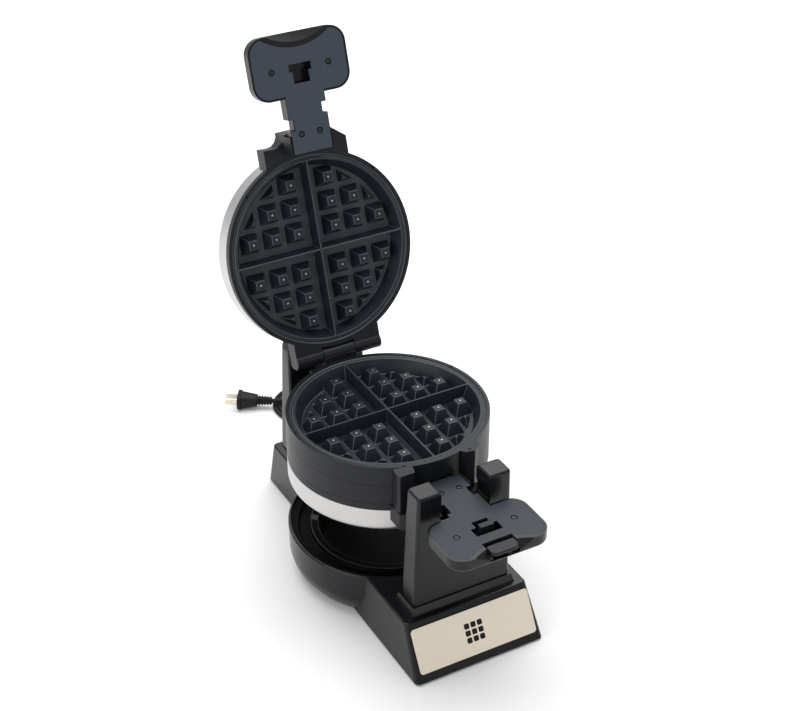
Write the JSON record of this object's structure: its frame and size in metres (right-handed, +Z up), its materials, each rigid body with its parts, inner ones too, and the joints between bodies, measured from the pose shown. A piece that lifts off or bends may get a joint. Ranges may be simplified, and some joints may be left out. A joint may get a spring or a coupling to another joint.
{
  "type": "rotating waffle maker",
  "caption": "Flip-over round waffle maker with stacked hinged lids in a rotating drum, tower stand with drip tray, handles, latch and power cord.",
  "frame": {"origin": "on the table, under the axis of the round drum", "axes": "+Z up, handles towards -Y, hinges and power cord at +Y, +X to the user's right"},
  "size_m": [0.2138, 0.5908, 0.5346],
  "materials": {
    "black_gloss": "moulded, glossy",
    "black_satin": "moulded, satin",
    "grey_matt": "fine matt texture",
    "nonstick": "dark non-stick coating",
    "cover_steel": "brushed",
    "badge_metal": "brushed, champagne",
    "rubber": "soft, black",
    "screw_black": "blackened steel",
    "bright_steel": "plain",
    "reflector_aluminium": "bright",
    "brass": "plated",
    "bearing_bronze": "plain bearing"
  },
  "bodies": {
    "root": {"base_shell": "black_gloss", "base_floor_plate": "black_satin", "rubber_feet": "rubber", "base_screws": "screw_black", "tower_screws": "screw_black", "front_plate": "badge_metal", "front_tower": "black_gloss", "neck_saddle": "rubber", "rear_tower": "black_gloss", "rear_tower_caps": "black_gloss", "rear_cap_screws": "screw_black", "rear_bush": "bearing_bronze", "bearing_clamp": "black_satin", "terminal_block": "black_satin", "cord_gland": "rubber", "power_cord": "rubber", "cord_tail": "rubber", "cord_coil": "rubber", "plug_body": "rubber", "plug_blades": "brass"},
    "drum": {"middle_upper_ring": "black_satin", "middle_lower_ring": "black_satin", "rim_screws": "screw_black", "middle_upper_waffle_plate": "nonstick", "middle_lower_waffle_plate": "nonstick", "middle_heater": "bright_steel", "middle_thermostat": "bright_steel", "hub": "black_satin", "hub_retainer": "black_satin", "upper_knuckle": "black_satin", "lower_knuckle": "black_satin", "upper_hinge_pin": "bright_steel", "lower_hinge_pin": "bright_steel"},
    "top_lid": {"top_band": "black_satin", "top_cover": "cover_steel", "top_front_bracket": "black_satin", "top_handle_plate": "grey_matt", "top_handle_screws": "screw_black", "top_handle_shell": "black_gloss", "top_heater": "bright_steel", "top_hinge_bracket": "black_satin", "top_hinge_screws": "screw_black", "top_reflector": "reflector_aluminium", "top_thermostat": "bright_steel", "top_waffle_plate": "nonstick"},
    "bottom_lid": {"bottom_band": "black_satin", "bottom_cover": "cover_steel", "bottom_front_bracket": "black_satin", "bottom_handle_plate": "grey_matt", "bottom_handle_screws": "screw_black", "bottom_handle_shell": "black_gloss", "bottom_heater": "bright_steel", "bottom_hinge_bracket": "black_satin", "bottom_hinge_screws": "screw_black", "bottom_reflector": "reflector_aluminium", "bottom_thermostat": "bright_steel", "bottom_waffle_plate": "nonstick", "latch_spring": "bright_steel"},
    "latch": {"release_latch": "black_satin"},
    "tray": {"drip_tray": "black_satin"}
  },
  "joints": [
    {"name": "drum_flip", "type": "hinge", "parent": "root", "child": "drum", "pos_m": [0, 0.13, 0.172], "axis": [0, 1, 0], "range_deg": [-4, 4]},
    {"name": "top_lid_hinge", "type": "hinge", "parent": "drum", "child": "top_lid", "pos_m": [0, 0.1135, 0.2], "axis": [1, 0, 0], "range_deg": [0, 108]},
    {"name": "bottom_lid_hinge", "type": "hinge", "parent": "drum", "child": "bottom_lid", "pos_m": [0, 0.1135, 0.144], "axis": [1, 0, 0], "range_deg": [0, 0.15]},
    {"name": "latch_slide", "type": "slide", "parent": "bottom_lid", "child": "latch", "axis": [0, 1, 0], "range_m": [0, 0.004], "stiffness_N_per_m": 400, "springref_m": -0.003},
    {"name": "tray_lift", "type": "slide", "parent": "root", "child": "tray", "axis": [0, 0, 1], "range_m": [0, 0.03]}
  ]
}
